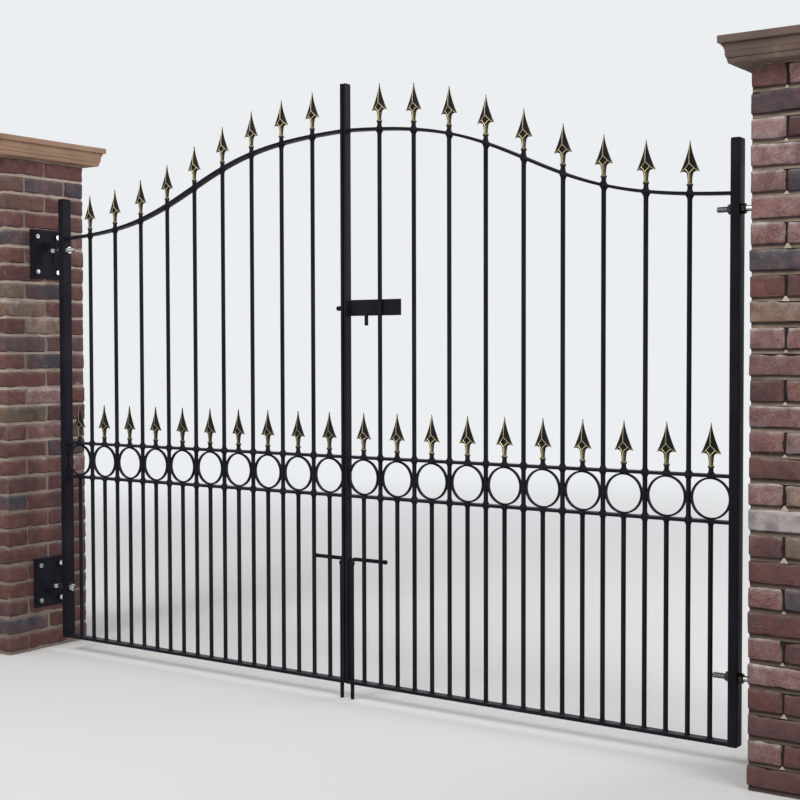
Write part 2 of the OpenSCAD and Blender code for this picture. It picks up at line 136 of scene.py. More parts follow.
FLOOR_HALF, FLOOR_Z = 60, -0.001
corners = [(x * FLOOR_HALF, y * FLOOR_HALF, FLOOR_Z)
           for x, y in ((-1, -1), (1, -1), (1, 1), (-1, 1))]
floor_mesh = bpy.data.meshes.new("floor")
floor_mesh.from_pydata(corners, [], [(0, 1, 2, 3)])
floor = bpy.data.objects.new("floor", floor_mesh)
bpy.context.scene.collection.objects.link(floor)
floor_paint, tree, place = start_material("pale_floor")
lit = add_node(tree, "BsdfPrincipled", {
    "Base Color": (0.82, 0.81, 0.79, 1), "Roughness": 0.9, "Specular IOR Level": 0.1})
away = add_node(tree, "VectorMath", {0: place, 1: (AIM.x, 0, 0)}, operation="DISTANCE")
far_off = ranged(tree, away.outputs["Value"], 3.0, 10.0, smooth=True)
shown = maths(tree, "MULTIPLY", far_off, seen_directly(tree))
glow = add_node(tree, "Emission", {"Color": SURROUND, "Strength": 1.0})
faded = add_node(tree, "MixShader", {0: shown, 1: lit.outputs[0], 2: glow.outputs[0]})
add_node(tree, "OutputMaterial", {"Surface": faded.outputs[0]})
floor_mesh.materials.append(floor_paint)

# Brick piers. Each is two bricks square: 28 courses of worn red facing bricks, laid in turn
# as two stretchers and as header, stretcher, header, round a core of mortar.
PIER_HALF = 0.22
COURSE, COURSES = 0.0755, 28
PIER_TOP = COURSES * COURSE + 0.005
BRICK = (0.215, 0.1025, 0.065)
ARRIS = 0.0062
right_pier_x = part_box("right_pier")[0].x + PIER_HALF


def stations(half, radius, cell, bend):
    """Cuts along one axis of a block: close over the rounded edge, a cell apart between."""
    edge = [half - radius * (1 - math.tan(math.pi / 4 * k / bend)) for k in range(bend, -1, -1)]
    flat = half - radius
    count = max(1, round(2 * flat / cell))
    between = [flat - 2 * flat * i / count for i in range(1, count)]
    return edge + between + [-e for e in reversed(edge)]


def rounded_block(size, radius, cell, bend=2):
    """Points and faces of a block with rounded edges, centred on the origin."""
    half = [s / 2 for s in size]
    cuts = [stations(h, radius, cell, bend) for h in half]
    points, faces, known = [], [], {}

    def corner(at):
        if at not in known:
            p = Vector(cuts[axis][at[axis]] for axis in range(3))
            inner = Vector(max(radius - h, min(h - radius, c)) for c, h in zip(p, half))
            known[at] = len(points)
            points.append(inner + (p - inner).normalized() * radius)
        return known[at]

    for axis in range(3):
        b, c = (axis + 1) % 3, (axis + 2) % 3
        for end in (0, len(cuts[axis]) - 1):
            for m in range(len(cuts[b]) - 1):
                for n in range(len(cuts[c]) - 1):
                    quad = []
                    for dm, dn in ((0, 0), (1, 0), (1, 1), (0, 1)):
                        at = [end] * 3
                        at[b], at[c] = m + dm, n + dn
                        quad.append(corner(tuple(at)))
                    faces.append(quad[::-1] if end else quad)
    return points, faces


def moved(shape, place, turn=None):
    """A shape turned about the origin and then put in its place."""
    points, faces = shape
    place = Vector(place)
    return [(turn @ p if turn else p) + place for p in points], faces


def rotation(degrees, axis):
    return Matrix.Rotation(math.radians(degrees), 3, axis)


def held(x):
    """A number kept between 0 and 1."""
    return max(0.0, min(1.0, x))


def lump(p, finer, x=0, y=0, z=0):
    """Noise round 0 at a point; x, y and z pick another stretch of it."""
    return noise.noise(p * finer + Vector((x, y, z)))


def make_piece(name, shape, body, finish, stands_for=(), crease=35, marks=None):
    """A mesh piece that rides on a body; marks are per-point numbers or colours for its finish."""
    points, faces = shape
    mesh = bpy.data.meshes.new(name)
    mesh.from_pydata([tuple(p) for p in points], [], faces)
    for mark, values in (marks or {}).items():
        if isinstance(values[0], tuple):
            flat = [c for value in values for c in (*value, 1.0)]
            mesh.attributes.new(mark, "FLOAT_COLOR", "POINT").data.foreach_set("color", flat)
        else:
            mesh.attributes.new(mark, "FLOAT", "POINT").data.foreach_set("value", values)
    shaped = bmesh.new()
    shaped.from_mesh(mesh)
    bmesh.ops.recalc_face_normals(shaped, faces=shaped.faces)
    shaped.to_mesh(mesh)
    shaped.free()
    mesh.shade_smooth()
    mesh.set_sharp_from_angle(angle=math.radians(crease))
    mesh.materials.append(finish)
    made = bpy.data.objects.new(name, mesh)
    bpy.context.scene.collection.objects.link(made)
    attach(made, body)
    if stands_for:
        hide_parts(*stands_for)


# Patches: soft noise cut to a mask, for stains, bloom, worn spots and uneven colour
patches = bpy.data.node_groups.new("patches", "ShaderNodeTree")
for label in ("Vector", "Shift", "Scale", "Detail", "Low", "High"):
    kind = "NodeSocketVector" if label == "Vector" else "NodeSocketFloat"
    patches.interface.new_socket(name=label, in_out="INPUT", socket_type=kind)
patches.interface.new_socket(name="Mask", in_out="OUTPUT", socket_type="NodeSocketFloat")
given = patches.nodes.new("NodeGroupInput").outputs
cloud = add_node(patches, "TexNoise", {
    "Vector": given["Vector"], "W": given["Shift"], "Scale": given["Scale"],
    "Detail": given["Detail"]}, noise_dimensions="4D").outputs["Fac"]
cut = ranged(patches, cloud, given["Low"], given["High"], smooth=True)
feed(patches, patches.nodes.new("NodeGroupOutput"), {"Mask": cut})


def patched(tree, place, scale, detail, low, high, shift=0.0):
    """The mask of the patches, placed in a material with that material's own values."""
    feeds = {"Vector": place, "Shift": shift, "Scale": scale, "Detail": detail,
             "Low": low, "High": high}
    return add_node(tree, "Group", feeds, node_tree=patches).outputs["Mask"]


def grain(tree, place, scale, detail, rough=0.5):
    """Fine noise from 0 to 1, for the bump."""
    feeds = {"Vector": place, "Scale": scale, "Detail": detail, "Roughness": rough}
    return add_node(tree, "TexNoise", feeds).outputs["Fac"]


def marked(tree, name, output="Fac"):
    """What make_piece marked on each point."""
    return add_node(tree, "Attribute", attribute_name=name).outputs[output]


def scaled(tree, value, times):
    return maths(tree, "MULTIPLY", value, times)


# Places of the colour sockets on a Mix node
MIX_SHARE, MIX_UNDER, MIX_OVER, MIX_RESULT = 0, 6, 7, 2


def stained(tree, colour, stain, mask, share=1.0):
    """The colour with another over it where the mask is 1, at most by the share given."""
    feeds = {MIX_SHARE: scaled(tree, mask, share), MIX_UNDER: colour, MIX_OVER: stain}
    return add_node(tree, "Mix", feeds, data_type="RGBA").outputs[MIX_RESULT]


def finish_off(tree, colour, rough, height, depth, shine=0.5, metal=0.0, tint=(1, 1, 1, 1)):
    """The shader at the end of a material, with bump from height, in metres of depth."""
    bump = add_node(tree, "Bump", {"Height": height, "Distance": depth, "Strength": 1.0})
    shader = add_node(tree, "BsdfPrincipled", {
        "Base Color": colour, "Roughness": rough, "Normal": bump.outputs["Normal"],
        "Specular IOR Level": shine, "Specular Tint": tint, "Metallic": metal})
    add_node(tree, "OutputMaterial", {"Surface": shader.outputs[0]})


brick_finish, tree, place = start_material("facing_brick")
bloom, own = marked(tree, "bloom"), marked(tree, "own")
crown = ranged(tree, marked(tree, "crown"), 0.35, 0.9, smooth=True)
cloudy = patched(tree, place, 26.0, 7.0, 0.35, 0.7, own)
flecks = patched(tree, place, 210.0, 3.0, 0.6, 0.68, own)
smear = patched(tree, place, 30.0, 8.0, 0.4, 0.72, own)
crystals = patched(tree, place, 240.0, 5.0, 0.42, 0.66, own)
fire = patched(tree, place, 9.0, 2.0, 0.4, 0.62, own)
clay = stained(tree, marked(tree, "clay", "Color"), (0.055, 0.03, 0.034, 1), cloudy, 0.5)
clay = stained(tree, clay, (0.26, 0.085, 0.055, 1), fire, 0.22)
clay = stained(tree, clay, (0.035, 0.025, 0.03, 1), flecks, 0.6)
salt = maths(tree, "MULTIPLY_ADD", crystals, 0.45, scaled(tree, smear, 0.6))
salt = maths(tree, "MULTIPLY", salt, bloom, use_clamp=True)
clay = stained(tree, clay, (0.52, 0.46, 0.45, 1), salt)
# Pale lime on the top edges and top face, by the crown mark: partly lime bloom, partly a painted
# highlight where light falls on the top
lime = maths(tree, "MULTIPLY_ADD", smear, 0.7, 0.35)
lime = maths(tree, "MULTIPLY", lime, scaled(tree, bloom, 3.2), use_clamp=True)
clay = stained(tree, clay, (0.6, 0.54, 0.5, 1), maths(tree, "MULTIPLY", lime, crown))
# Painted shade along the bottom edges and on the sides in the joints, by the under mark
clay = stained(tree, clay, (0.03, 0.018, 0.017, 1), marked(tree, "under"), 0.75)
lying = add_node(tree, "VectorMath", {0: place, 1: (1, 1, 2.6)}, operation="MULTIPLY").outputs[0]
fold = add_node(tree, "TexNoise", {"Vector": lying, "W": own, "Scale": 9.0, "Detail": 1.2},
                noise_dimensions="4D").outputs["Fac"]
fold = maths(tree, "ABSOLUTE", maths(tree, "SUBTRACT", fold, 0.5))
crease = maths(tree, "MULTIPLY", ranged(tree, fold, 0.0, 0.009, 1.0, 0.0), fire)
# The folds are darkened a little as painted shade in the creases, and sunk in the bump below
clay = stained(tree, clay, (0.03, 0.018, 0.018, 1), crease, 0.2)
drag = scaled(tree, grain(tree, place, 90.0, 4.0), 1.6)
height = maths(tree, "ADD", grain(tree, place, 420.0, 6.0, 0.65), drag)
height = maths(tree, "SUBTRACT", height, scaled(tree, crease, 1.2))
finish_off(tree, clay, 0.88, height, 0.0019, 0.3)


def mortar_finish(name, light, dark, upright, painted_shade, foot_darkening):
    """Sandy mortar in two tones, painted shade under the bricks and in upright joints, darker at
    the foot.
    """
    made, tree, place = start_material(name)
    height = add_node(tree, "SeparateXYZ", {0: place}).outputs["Z"]
    in_course = maths(tree, "FRACT", scaled(tree, height, 1 / COURSE))
    beside = maths(tree, "GREATER_THAN", in_course, 0.16)
    foot = ranged(tree, height, 1.05, 0.6, smooth=True)
    tone = stained(tree, light, dark, patched(tree, place, 12.0, 5.0, 0.35, 0.7))
    sand = patched(tree, place, 500.0, 2.0, 0.55, 0.7)
    tone = stained(tree, tone, (0.16, 0.13, 0.09, 1), sand, 0.45)
    # Darker towards the foot of the pier
    tone = stained(tree, tone, (0.07, 0.053, 0.042, 1), foot, foot_darkening)
    # Painted shadow, darkest at the top of each bed joint, under the brick above
    tone = stained(tree, tone, upright, ranged(tree, in_course, 0.03, 0.13), painted_shade)
    # Painted shade in the upright joints
    tone = stained(tree, tone, upright, beside, 0.95)
    finish_off(tree, tone, 0.95, grain(tree, place, 380.0, 5.0), 0.0022, 0.2)
    return made


# What the kiln gave: (red, green, blue), how much white bloom the face carries
KILN = {
    "red": ((0.135, 0.051, 0.047), 0.14),
    "deep": ((0.1, 0.04, 0.038), 0.1),
    "brown": ((0.13, 0.07, 0.056), 0.14),
    "plum": ((0.088, 0.062, 0.073), 0.12),
    "blue": ((0.05, 0.05, 0.064), 0.14),
    "pink": ((0.27, 0.145, 0.14), 0.5),
    "rose": ((0.185, 0.085, 0.082), 0.36),
    "wine": ((0.092, 0.042, 0.041), 0.09),
    "tan": ((0.225, 0.155, 0.105), 0.3),
    "olive": ((0.13, 0.105, 0.065), 0.15),
    "pale": ((0.4, 0.37, 0.36), 1.0),
}
# Each pier's run of common bricks, and the run of its lowest courses, which are darker
COMMON = {
    "left": ["red"] * 9 + ["rose"] * 2 + ["deep"] * 4 + ["brown"] * 3 + ["plum"],
    "right": ["rose"] * 9 + ["wine"] * 2 + ["pink"] * 3 + ["red", "plum", "blue", "tan"],
}
FOOT = {
    "left": ["red"] * 3 + ["wine"] * 7 + ["deep"] * 7 + ["plum"],
    "right": ["wine"] * 9 + ["deep"] * 3 + ["plum"] * 2 + ["rose"] * 3,
}
FOOT_COURSES = 10
# Odd bricks that stand out, by pier: (course, side along X, side along Y), 0 for the middle
ODD = {
    "left": {
        (28, 1, -1): "red", (27, 1, 1): "blue", (27, 1, 0): "plum", (24, 1, -1): "blue",
        (22, 1, -1): "deep", (21, 1, -1): "olive", (21, 1, 0): "blue", (20, 1, -1): "tan",
        (19, 1, -1): "deep", (19, 1, 0): "tan", (17, 1, 0): "blue", (15, 1, 0): "pink",
        (14, 1, -1): "olive", (13, 1, 0): "rose", (12, 1, 1): "blue", (9, 1, -1): "blue",
        (2, 1, -1): "blue"},
    "right": {
        (28, -1, -1): "red", (28, 0, -1): "pink", (27, -1, -1): "plum", (26, -1, -1): "pink",
        (25, -1, -1): "pink", (24, 0, -1): "blue", (23, -1, -1): "pink", (22, -1, -1): "rose",
        (21, -1, -1): "blue", (20, -1, -1): "red", (19, -1, -1): "tan", (18, -1, -1): "rose",
        (17, -1, -1): "rose", (16, -1, -1): "wine", (15, -1, -1): "rose", (13, -1, -1): "wine",
        (12, 0, -1): "tan", (11, -1, -1): "pale", (10, 0, -1): "olive", (8, 0, -1): "blue"},
}
brick_points, brick_faces = rounded_block(BRICK, ARRIS, 0.028)
# Without a seed the noise vectors would start from the clock
noise.seed_set(3)
# How deep wear goes: waves and sags of a face, nibbles on edges, faces and corners
WAVE, SAG, EDGE_BITE, FACE_BITE, CORNER_BITE = 0.0013, 0.004, 0.0075, 0.0006, 0.0016
# Painted shade on the sides of a brick in the joints: it starts this far behind the pier's face and
# is full this much deeper
SHADE_FROM, SHADE_RUN = 0.0038, 0.004


def lay_brick(pile, middle, turned, kind, draw, painted_shade, grown):
    """Adds one worn brick to the pile: slightly askew, uneven and nibbled, with painted shade under
    it and in the joints and a painted highlight on its top edges.
    """
    points, faces, marks = pile
    colour, bloom = KILN[kind]
    shade = draw.uniform(0.82, 1.18)
    own = draw.uniform(0, 60)
    tilt = Euler([math.radians(draw.gauss(0, 0.35)) for _ in range(3)]).to_matrix()
    swell = Vector((grown[0] + draw.gauss(0, 0.008), grown[1], grown[2] + draw.gauss(0, 0.018)))
    spin = rotation(90 if turned else 0, "Z")
    first, rim, top = len(points), ARRIS * 0.7, BRICK[2] / 2
    for p in brick_points:
        edges = sum(abs(c) > s / 2 - rim for c, s in zip(p, BRICK))
        near_edge, low = edges >= 2, p.z < rim - top
        seed = p + Vector((own, 0, 0))
        wave = noise.noise_vector(seed * 24) * WAVE
        wave.z += lump(seed, 17) * SAG * p.z / BRICK[2]
        nibble = max(0, lump(seed, 55) + 0.1) * (EDGE_BITE if near_edge else FACE_BITE)
        nibble += CORNER_BITE if edges == 3 else 0
        inward = Vector(c / s for c, s in zip(p, BRICK)).normalized()
        at = tilt @ (spin @ (p * swell + wave - inward * nibble)) + middle
        points.append(at)
        sunk = PIER_HALF - max(abs(at.x), abs(at.y))
        # The crown mark is a painted highlight mixed with lime bloom: full on the top edges, half
        # on the upright edges, a little on the top face
        if near_edge:
            marks["crown"].append(1.0 if p.z > top - rim else 0.0 if low else 0.5)
        else:
            marks["crown"].append(0.6 if p.z > top - ARRIS * 1.1 else 0.0)
        # Painted shade: full along the bottom edges, a little on the upright edges, and more the
        # deeper a side is sunk in a joint
        shaded = (1.0 if low else 0.2) if near_edge else 0.0
        marks["under"].append(max(shaded, painted_shade * held((sunk - SHADE_FROM) / SHADE_RUN)))
    faces.extend([first + i for i in face] for face in brick_faces)
    count = len(brick_points)
    marks["clay"] += [tuple(c * shade for c in colour)] * count
    marks["bloom"] += [bloom * draw.uniform(0.5, 1.2)] * count
    marks["own"] += [own] * count


def build_pier(name, x, seed, joint_depth, mortar, painted_shade, grown):
    """The bricks and the mortar of one pier; the mortar stands joint_depth back from the face."""
    draw = random.Random(seed)
    marks = {mark: [] for mark in ("clay", "bloom", "own", "crown", "under")}
    points, faces = [], []
    outer = PIER_HALF - BRICK[1] * grown[1] / 2 - 0.0012
    half_run = PIER_HALF - BRICK[0] * grown[0] / 2
    for course in range(1, COURSES + 1):
        z = course * COURSE - BRICK[2] / 2
        along_y = course % 2 == 0
        corner_reach = (outer, half_run) if along_y else (half_run, outer)
        middles = [(0, -1), (0, 1)] if along_y else [(-1, 0), (1, 0)]
        for sx, sy in [(-1, -1), (-1, 1), (1, -1), (1, 1)] + middles:
            middle_one = 0 in (sx, sy)
            reach = (outer, outer) if middle_one else corner_reach
            at = Vector((sx * reach[0], sy * reach[1], z))
            at += Vector([draw.gauss(0, 0.0007) for _ in range(3)])
            common = (COMMON if course > FOOT_COURSES else FOOT)[name]
            kind = ODD[name].get((course, sx, sy)) or draw.choice(common)
            lay_brick((points, faces, marks), at, along_y != middle_one, kind, draw, painted_shade, grown)
    bricks = moved((points, faces), (x, 0, 0))
    make_piece(f"{name}_bricks", bricks, "piers", brick_finish, (f"{name}_pier",), 60,
               marks)

    side = 2 * (PIER_HALF - joint_depth)
    bed, bed_faces = rounded_block((side, side, PIER_TOP), 0.001, 0.0125, 1)
    outward = [Vector((p.x, p.y, 0)).normalized() for p in bed]
    bed = [p + out * (lump(p, 38, seed) * 0.0022) for p, out in zip(bed, outward)]
    core = moved((bed, bed_faces), (x, 0, PIER_TOP / 2))
    make_piece(f"{name}_mortar", core, "piers", mortar, (), 60)


left_mortar = mortar_finish("left_mortar", (0.54, 0.435, 0.35, 1), (0.34, 0.265, 0.215, 1),
                            (0.24, 0.18, 0.15, 1), 0.5, 0.55)
right_mortar = mortar_finish("right_mortar", (0.34, 0.27, 0.205, 1), (0.17, 0.13, 0.095, 1),
                             (0.022, 0.015, 0.014, 1), 0.9, 0.75)
build_pier("left", 0.0, 11, 0.0044, left_mortar, 0.35, (1.0093, 1.0146, 1.025))
build_pier("right", right_pier_x, 12, 0.005, right_mortar, 1.0, (1.0116, 1.0195, 1.0))

# Where the right pier's upright joints meet the bed below, pale mortar was squeezed out
DAB = (0.024, 0.006, 0.014)
DAB_OUT, DAB_UP, HEADER_JOINT = 0.005, 0.0068, 0.1117
pale_lime = (0.6, 0.49, 0.39, 1)
dab_mortar = mortar_finish("dab_mortar", pale_lime, (0.42, 0.34, 0.27, 1), pale_lime, 0.0, 0.2)
dab_points, dab_faces = rounded_block(DAB, 0.0018, 0.006)
draw = random.Random(21)
points, faces = [], []
for course in range(2, COURSES + 1):
    for quarter in range(4):
        headed = (course + quarter) % 2 == 0
        face_turn = rotation(90 * quarter, "Z")
        for along in (-HEADER_JOINT, HEADER_JOINT) if headed else (0.0,):
            size, slip = draw.uniform(0.6, 1.15), draw.gauss(0, 0.0015)
            first = len(points)
            for p in dab_points:
                narrow = 1 - 0.8 * (p.z / DAB[2] + 0.5)
                rough = lump(p, 260, course, quarter, along * 50) * 0.0016
                at = Vector((p.x * narrow * size + along + slip, p.y + rough + DAB_OUT - PIER_HALF,
                             p.z * size + (course - 1) * COURSE + DAB_UP))
                points.append(face_turn @ at)
            faces += [[first + i for i in face] for face in dab_faces]
shape = moved((points, faces), (right_pier_x, 0, 0))
make_piece("right_mortar_dabs", shape, "piers", dab_mortar, (), 60)

# Pier caps. Cast stone copings on a thin mortar bed: two fillets, a cove, a groove and a
# top slab run round all four sides, and the top is weathered to a low point.
CAP_REACH, SLAB_STEP = 0.05, 0.024
FILLET, LEAN, QUIRK = 0.016, 0.003, 0.002
COVE_OUT, COVE_UP = 0.009, 0.018
SLAB_EDGE, WEATHER = 0.08, 0.022


def stone_finish(name, light, dark):
    """Cast stone with stains, a little lichen and open pores."""
    made, tree, place = start_material(name)
    stone = stained(tree, light, dark, patched(tree, place, 7.0, 7.0, 0.35, 0.68), 0.6)
    lichen = patched(tree, place, 26.0, 6.0, 0.55, 0.7, 4.0)
    stone = stained(tree, stone, (0.26, 0.22, 0.15, 1), lichen, 0.25)
    pores = patched(tree, place, 320.0, 2.0, 0.6, 0.68, 9.0)
    stone = stained(tree, stone, (0.06, 0.038, 0.03, 1), pores, 0.5)
    finish_off(tree, stone, 0.85, grain(tree, place, 300.0, 6.0, 0.6), 0.0012, 0.3)
    return made


def cap_profile():
    """(reach past the brick, height over the soffit) from inside the soffit to the slab's edge."""
    second = CAP_REACH + LEAN + QUIRK
    cove, cove_z = second + LEAN, 2 * FILLET + QUIRK
    run = [(-0.1, 0), (0.0, 0)]
    for reach, z in ((CAP_REACH, 0), (second, FILLET)):
        run += [(reach - 0.001, z), (reach, z + 0.001), (reach + LEAN * 0.5, z + FILLET * 0.45),
                (reach + LEAN, z + FILLET - QUIRK - 0.001),
                (reach + LEAN - 0.001, z + FILLET - QUIRK), (reach + LEAN - QUIRK, z + FILLET)]
    for a in [math.radians(10 * k) for k in range(10)]:
        run.append((cove + COVE_OUT * (1 - math.cos(a)), cove_z + COVE_UP * math.sin(a)))
    run += [(cove + 0.005, cove_z + 0.0185), (cove + 0.005, cove_z + 0.0235)]
    slab = CAP_REACH + SLAB_STEP
    return run + [(slab - 0.001, cove_z + 0.024), (slab, cove_z + 0.025), (slab, 0.068),
                  (slab, SLAB_EDGE - 0.003), (slab - 0.001, SLAB_EDGE - 0.001),
                  (slab - 0.003, SLAB_EDGE)]


def bands(rows, around, closed=False):
    """Faces between rows of points that each run once round."""
    faces = []
    for i in range(rows if closed else rows - 1):
        for j in range(around):
            k, n = (j + 1) % around, (i + 1) % rows
            faces.append([i * around + j, i * around + k, n * around + k, n * around + j])
    return faces


def build_cap(name, x, seed, finish):
    """The moulding is swept round the square with mitred corners, and noise wears its edges."""
    cells = 26
    rim = [(-1 + 2 * i / cells, -1) for i in range(cells)]
    rim = [[(u, v), (-v, u), (-u, -v), (v, -u)][turn] for turn in range(4) for u, v in rim]
    rings = [(PIER_HALF + reach, z) for reach, z in cap_profile()]
    full = PIER_HALF + CAP_REACH + SLAB_STEP
    rings += [(full * (1 - t), SLAB_EDGE + WEATHER * t) for t in (0.06, 0.14, 0.3, 0.5, 0.7, 0.88)]
    points = []
    for half, z in rings:
        for a, b in rim:
            p = Vector((a * half, b * half, z))
            rub = lump(p, 24, seed) * 0.0012 + lump(p, 95, 0, seed) * 0.0007
            inward = Vector((p.x, p.y, (z - 0.04) * 2)).normalized()
            points.append(p - inward * (0.0012 + abs(rub)))
    around = len(rim)
    faces = bands(len(rings), around)
    for ring, middle_z in ((0, 0), (len(rings) - 1, SLAB_EDGE + WEATHER - 0.002)):
        first, middle = ring * around, len(points)
        points.append(Vector((0, 0, middle_z)))
        faces += [(first + j, first + (j + 1) % around, middle) for j in range(around)]
    make_piece(f"{name}_coping", moved((points, faces), (x, 0, PIER_TOP)), "piers",
               finish, (f"{name}_pier_cap",), 40)


left_stone = stone_finish("left_cap_stone", (0.365, 0.225, 0.15, 1), (0.22, 0.13, 0.088, 1))
# The right coping is browner stone and darker still as painted shade, since it is seen from below
browner_shaded_right_stone = stone_finish("right_cap_stone_browner_shaded", (0.15, 0.102, 0.086, 1), (0.08, 0.054, 0.046, 1))
build_cap("left", 0.0, 3, left_stone)
build_cap("right", right_pier_x, 5, browner_shaded_right_stone)

# Black coat. Stiles, rails, bars and bolts are mild steel, welded up and then coated in one
# go with satin black, which fills the welds and leaves every edge a little round.


def normal_z(tree):
    """How far a face looks up, from -1 to 1."""
    normal = add_node(tree, "NewGeometry").outputs["Normal"]
    return add_node(tree, "SeparateXYZ", {0: normal}).outputs["Z"]


satin_black, tree, place = start_material("satin_black")
sheen = patched(tree, place, 5.0, 4.0, 0.35, 0.7)
dusty = patched(tree, place, 30.0, 6.0, 0.4, 0.7, 3.0)
dust = maths(tree, "MULTIPLY", ranged(tree, normal_z(tree), 0.6, 1.0), dusty)
black = stained(tree, (0.0125, 0.0116, 0.0165, 1), (0.019, 0.0178, 0.0245, 1), sheen)
black = stained(tree, black, (0.22, 0.2, 0.17, 1), dust, 0.22)
rough = ranged(tree, sheen, 0.0, 1.0, 0.34, 0.46)
peel = grain(tree, place, 650.0, 2.0)
finish_off(tree, black, rough, peel, 0.00012, 0.035, tint=(0.9, 0.86, 1.0, 1))

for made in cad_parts.values():
    made.data.materials.clear()
    made.data.materials.append(satin_black)

# Flat bars and plates: meeting stiles, rails, hinge plates with their lugs and pins, guides,
# shield and keeper. Rolling and paint leave a small round along every edge.
FLATS = ("hinge_plates", "meeting_stile", "bottom_rail", "upper_ring_rail", "lower_ring_rail",
         "drop_guide", "bolt_shield", "bolt_guides", "keeper")
for node_name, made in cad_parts.items():
    if node_name.split("_", 1)[1] in FLATS:
        made.modifiers.new("joined", "WELD").merge_threshold = 0.00001
        soft = made.modifiers.new("soft_edges", "BEVEL")
        soft.width, soft.segments = 0.0009, 2
        soft.limit_method, soft.angle_limit = "ANGLE", math.radians(50)
        soft.harden_normals = True

# Hinge stiles. Thick square-edged posts that carry each leaf at the pier, closed on top
# with a moulded cap whose corners are well rounded.
GATE_X = 1.85575
SIDES = {"left": -1, "right": 1}
GROUND_GAP = 0.06
STILE_FACE, STILE_W, STILE_D, STILE_TOP = 1.49675, 0.03, 0.045, 1.946
STILE_CAP, STILE_CAP_ON = (STILE_W + 0.0008, STILE_D + 0.0008, 0.012), 0.008


def put_together(shapes):
    """Several shapes as one list of points and one of faces."""
    points, faces = [], []
    for more_points, more_faces in shapes:
        first = len(points)
        points += more_points
        faces += [[first + i for i in face] for face in more_faces]
    return points, faces


def on_leaf(side, shapes):
    """Shapes drawn as (distance from the meeting line, depth, height), put on one leaf."""
    points, faces = put_together(shapes)
    return [Vector((GATE_X + SIDES[side] * p.x, p.y, p.z)) for p in points], faces


def leaf_piece(side, label, shapes, node=None, finish=satin_black,
               crease=35, marks=None):
    """A piece fixed to one leaf; node is the CAD node that it stands for."""
    stands_for = (f"{side}_{node}",) if node else ()
    make_piece(f"{side}_{label}", on_leaf(side, shapes), f"{side}_leaf", finish,
               stands_for, crease, marks)


for side in SIDES:
    middle, post_top = STILE_FACE + STILE_W / 2, STILE_TOP - STILE_CAP_ON
    post = rounded_block((STILE_W, STILE_D, post_top - GROUND_GAP), 0.0018, 0.3)
    cap = rounded_block(STILE_CAP, 0.0045, 0.02, 4)
    leaf_piece(side, "hinge_post", [
        moved(post, (middle, 0, (post_top + GROUND_GAP) / 2)),
        moved(cap, (middle, 0, STILE_TOP - STILE_CAP[2] / 2))], "hinge_stile")

# Bowed top rails. One flat bar to a leaf, bent on the flat into a long S from the hinge
# stile up to the meeting stile and welded to both.
MEET_FACE = 0.01275
RAIL_T, RAIL_D = 0.01, 0.035
BOW_LOW, BOW_HIGH, BOW_MID, BOW_SOFT = 1.777, 2.102, 0.768, 0.193
BOW_CUTS, BOW_INTO = 72, 0.0005


def bow_z(u):
    """Height of the bowed rail's centre line at a distance u from the meeting line."""
    def share(at):
        return 1 / (1 + math.exp((at - BOW_MID) / BOW_SOFT))
    far = share(STILE_FACE)
    return BOW_LOW + (BOW_HIGH - BOW_LOW) * (share(u) - far) / (share(MEET_FACE) - far)


def bow_slope(u):
    return (bow_z(u + 0.0005) - bow_z(u - 0.0005)) / 0.001


def rounded_outline(width, height, radius, bend=2):
    """Corner points of a flat bar's section with rounded edges."""
    run = []
    for quarter, (sx, sy) in enumerate(((1, 1), (-1, 1), (-1, -1), (1, -1))):
        for k in range(bend + 1):
            a = math.radians(90) * (quarter + k / bend)
            run.append((sx * (width / 2 - radius) + radius * math.cos(a),
                        sy * (height / 2 - radius) + radius * math.sin(a)))
    return run


def swept(stops, outline, closed=False):
    """An outline carried along stops of (middle, across, up); open ends are closed with a face."""
    points = [middle + across * a + up * b for middle, across, up in stops for a, b in outline]
    around, last = len(outline), len(stops)
    faces = bands(last, around, closed)
    if not closed:
        faces += [list(range(around)), list(range((last - 1) * around, last * around))]
    return points, faces


INTO_DEPTH = Vector((0, 1, 0))
rail_outline = rounded_outline(RAIL_D, RAIL_T, 0.0012)
for side in SIDES:
    stops = []
    for i in range(BOW_CUTS + 1):
        u = MEET_FACE - BOW_INTO + (STILE_FACE - MEET_FACE + 2 * BOW_INTO) * i / BOW_CUTS
        up = Vector((-bow_slope(u), 0, 1)).normalized()
        stops.append((Vector((u, 0, bow_z(u))), INTO_DEPTH, up))
    leaf_piece(side, "bowed_rail", [swept(stops, rail_outline)], "top_rail")

# Upright bars. Round bar: nine long ones pass through all the rails, ten dog bars stand
# between them under the rings, and ten stubs carry the lower spears. Each weld is a small
# hollow collar of metal and paint round the bar.
BAR_R = 0.008
LONG_US = [0.15475 + 0.15 * i for i in range(9)]
SHORT_US = [0.07975 + 0.15 * i for i in range(10)]
FOOT_Z, BAND_LOW, BAND_HIGH = 0.072, 0.758, 0.902
SPEAR_RISE, INTO_SPEAR = 0.023, 0.003
COLLAR_CUTS = 5


def round_points(count, radius=1.0):
    """Points round a circle."""
    return [(radius * math.cos(math.tau * k / count), radius * math.sin(math.tau * k / count))
            for k in range(count)]


def turned(profile, count=24):
    """A round form about an upright axis, from (radius, height); it closes at radius 0."""
    points, faces, rows = [], [], []
    for radius, z in profile:
        ring = round_points(count, radius)[:count if radius > 0 else 1]
        rows.append([len(points) + j for j in range(len(ring))])
        points += [Vector((x, y, z)) for x, y in ring]
    for low, high in zip(rows, rows[1:]):
        for j in range(count):
            k = j + 1
            quad = [low[j % len(low)], low[k % len(low)], high[k % len(high)], high[j % len(high)]]
            faces.append(list(dict.fromkeys(quad)))
    return points, faces


